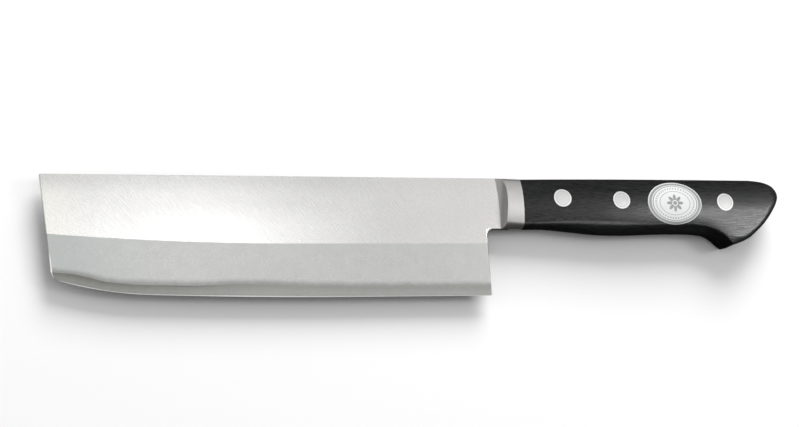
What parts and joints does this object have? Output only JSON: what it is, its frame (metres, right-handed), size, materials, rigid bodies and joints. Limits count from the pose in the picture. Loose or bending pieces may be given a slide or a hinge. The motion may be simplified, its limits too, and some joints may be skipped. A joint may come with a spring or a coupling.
{
  "type": "nakiri knife",
  "caption": "Square-ended vegetable knife with a three-layer blade, a welded steel bolster and a riveted black handle with a hooked butt.",
  "frame": {"origin": "centre of the underside of the bounding box, with the knife lying on its right side", "axes": "+X from the blade's tip to the handle's butt, +Y from the cutting edge to the spine, +Z out of the left side of the blade"},
  "size_m": [0.284, 0.0442, 0.0152],
  "materials": {
    "core_steel": "hard core steel, dark and matte along its wavy upper line, with a thin bright edge",
    "blade_steel": "satin flat with fine slanting scratches, matte grey wide bevel",
    "tang_steel": "plain mill finish",
    "bolster_steel": "satin",
    "black_wood": "black laminated wood, fine lengthwise grain, satin",
    "rivet_steel": "ground flush, fine satin",
    "label_film": "thin white film with a silver-grey ring pattern"
  },
  "bodies": {
    "root": {"core_steel": "core_steel", "cladding_left": "blade_steel", "cladding_right": "blade_steel", "tang": "tang_steel", "bolster_left": "bolster_steel", "bolster_right": "bolster_steel", "handle": "black_wood", "front_rivet_stud": "rivet_steel", "front_rivet_tube": "rivet_steel", "middle_rivet_stud": "rivet_steel", "middle_rivet_tube": "rivet_steel", "rear_rivet_stud": "rivet_steel", "rear_rivet_tube": "rivet_steel", "label": "label_film"}
  },
  "joints": []
}
